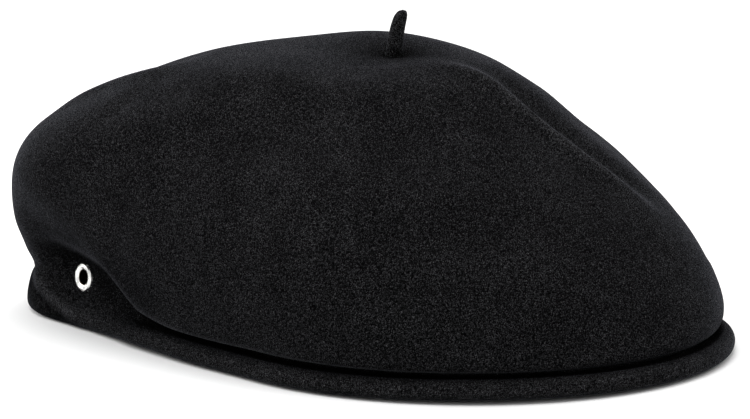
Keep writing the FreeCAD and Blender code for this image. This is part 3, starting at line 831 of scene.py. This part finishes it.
def ribbon_material():
    """Black rayon grosgrain: soft lustre broken by fine warp threads."""
    m = Nodes("grosgrain")
    warp = m.texture("ShaderNodeTexWave", Scale=1400.0, Distortion=2.0, Detail=1.0, bands_direction="Z")
    uneven = m.texture("ShaderNodeTexNoise", Scale=300.0, Detail=3.0)
    tone = m.ramp(uneven, "Fac", ((0.3, grey(0.009)), (0.7, grey(0.017))))
    m.link(tone, "Color", m.shader, "Base Color")
    m.bump(warp, "Fac", 0.35, 0.0001)
    m.set(Roughness=0.48, Specular_IOR_Level=0.45, Sheen_Weight=0.08)
    return m.material


def label_material():
    """Off-white woven satin, blank, with fine threads across it."""
    m = Nodes("woven_label")
    weft = m.texture("ShaderNodeTexWave", Scale=1100.0, Distortion=0.6, bands_direction="Z")
    soft = m.texture("ShaderNodeTexNoise", Scale=350.0, Detail=3.0)
    tone = m.ramp(soft, "Fac", ((0.3, (0.60, 0.585, 0.55)), (0.7, (0.72, 0.705, 0.67))))
    m.link(tone, "Color", m.shader, "Base Color")
    m.bump(weft, "Fac", 0.4, 0.00012)
    m.set(Roughness=0.55, Specular_IOR_Level=0.35, Sheen_Weight=0.15)
    return m.material


# The distance from an eyelet's axis over which the bore's dull brass, darkened with painted shade, gives way
# to the flange's nickel
BORE_END, FLANGE_START = 0.0025, 0.0027

# Sockets of a Mix node that mixes colours
MIX_A, MIX_B, MIX_RESULT = 6, 7, 2


def nickel_material(name, eyelet):
    """Polished nickel with faint scuffs; inside the bore it is a dull brass, darkened with painted shade."""
    m = Nodes(name)
    scuffs = m.texture("ShaderNodeTexNoise", Scale=900.0, Detail=3.0)
    where = m.add("ShaderNodeNewGeometry")
    offset = m.add("ShaderNodeVectorMath", operation="SUBTRACT")
    offset.inputs[1].default_value = eyelet.middle * MM
    m.link(where, "Position", offset, 0)
    across = m.add("ShaderNodeVectorMath", operation="CROSS_PRODUCT")
    across.inputs[1].default_value = eyelet.axis
    m.link(offset, "Vector", across, 0)
    distance = m.add("ShaderNodeVectorMath", operation="LENGTH")
    m.link(across, "Vector", distance, 0)
    flange = m.map_range(distance, "Value", BORE_END, FLANGE_START, 0.0, 1.0)
    plate = m.ramp(scuffs, "Fac", ((0.3, (0.82, 0.81, 0.78)), (0.7, (0.95, 0.94, 0.92))))
    tone = m.add("ShaderNodeMix", data_type="RGBA")
    # the bore's colour: brass darkened nearly to black, painted shade in the bore
    tone.inputs[MIX_A].default_value = (0.055, 0.036, 0.016, 1.0)
    m.link(flange, "Result", tone, "Factor")
    m.link(plate, "Color", tone, MIX_B)
    m.link(tone, MIX_RESULT, m.shader, "Base Color")
    shine = m.map_range(scuffs, "Fac", 0.0, 1.0, 0.16, 0.34)
    m.link(shine, "Result", m.shader, "Roughness")
    m.bump(scuffs, "Fac", 0.15, 0.00005)
    m.set(Metallic=1.0)
    return m.material


def wear(thing, material):
    """Gives a new piece its material."""
    thing.data.materials.clear()
    thing.data.materials.append(material)


FELT_LOOK = felt_material()
THREAD_LOOK = thread_material()
wear(crown, FELT_LOOK)
wear(stalk, FELT_LOOK)
wear(anchor, FELT_LOOK)
RIBBON_LOOK = ribbon_material()
wear(ribbon, RIBBON_LOOK)
wear(tab, RIBBON_LOOK)
LABEL_LOOK = label_material()
for tag, cloth in ((size_tag, size_cloth), (care_tag, care_cloth)):
    wear(tag, LABEL_LOOK)
    tag.data.materials.append(THREAD_LOOK)
    for polygon in tag.data.polygons[cloth:]:
        polygon.material_index = 1


def dress(node, material):
    """Puts a material on a CAD node without changing its shape."""
    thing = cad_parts[node]
    for slot in thing.material_slots:
        slot.material = material


for side, eyelet in zip(("left", "right"), EYELETS):
    look = nickel_material(f"nickel_{side}", eyelet)
    dress(f"eyelet_{side}", look)
    dress(f"eyelet_washer_{side}", look)
for node in ("anchor_stitches", "sweatband_stitches"):
    dress(node, THREAD_LOOK)

# ---------------------------------------------------------------------------------------------------------
# Floor, light and camera
# ---------------------------------------------------------------------------------------------------------


def build_floor():
    """A plain pale sheet just under the beret."""
    half = 4.0
    mesh = bpy.data.meshes.new("floor")
    corners = [(-half, -half, 0), (half, -half, 0), (half, half, 0), (-half, half, 0)]
    mesh.from_pydata(corners, [], [(0, 1, 2, 3)])
    floor = bpy.data.objects.new("floor", mesh)
    floor.location.z = -0.0002
    bpy.context.scene.collection.objects.link(floor)
    m = Nodes("floor_paper")
    m.set(Base_Color=(0.82, 0.82, 0.82, 1.0), Roughness=0.95, Specular_IOR_Level=0.0)
    mesh.materials.append(m.material)


def add_area(name, place, width, height, power):
    """A soft light that looks at the beret."""
    light = bpy.data.lights.new(name, "AREA")
    light.shape = "RECTANGLE"
    light.size = width
    light.size_y = height
    light.energy = power
    lamp = bpy.data.objects.new(name, light)
    lamp.location = place
    lamp.rotation_euler = (Vector((0, 0, 0.04)) - Vector(place)).to_track_quat("-Z", "Y").to_euler()
    bpy.context.scene.collection.objects.link(lamp)


def camera_axes(azimuth, elevation):
    """(towards the camera, right, up) for a camera turned azimuth degrees from the right side to the front"""
    a, e = math.radians(azimuth), math.radians(elevation)
    towards = Vector((-math.cos(a) * math.cos(e), -math.sin(a) * math.cos(e), math.sin(e)))
    right = Vector((0, 0, 1)).cross(towards).normalized()
    return towards, right, towards.cross(right).normalized()


def build_camera():
    """A long lens 1.2 m away, aimed a little beside the origin and over it."""
    towards, right, up = camera_axes(31.0, 12.0)
    place = towards * 1.2
    target = right * 0.00346 + up * 0.0385
    data = bpy.data.cameras.new("camera")
    data.sensor_width = 36.0
    data.lens = 183.2
    data.clip_start = 0.05
    camera = bpy.data.objects.new("camera", data)
    camera.location = place
    camera.rotation_euler = (target - place).to_track_quat("-Z", "Y").to_euler()
    bpy.context.scene.collection.objects.link(camera)
    bpy.context.scene.camera = camera


build_floor()
world = bpy.data.worlds.new("studio")
world.use_nodes = True
backdrop = world.node_tree.nodes["Background"]
backdrop.inputs["Color"].default_value = (1, 1, 1, 1)
backdrop.inputs["Strength"].default_value = 0.76
bpy.context.scene.world = world
add_area("overhead", (-0.1, 0.1, 1.6), 1.6, 1.6, 26)
add_area("back_left", (-0.5, 1.5, 0.9), 1.0, 0.8, 17)
add_area("far_right", (1.3, -0.9, 1.0), 0.8, 0.8, 7)
build_camera()
bpy.context.scene.view_settings.view_transform = "Standard"
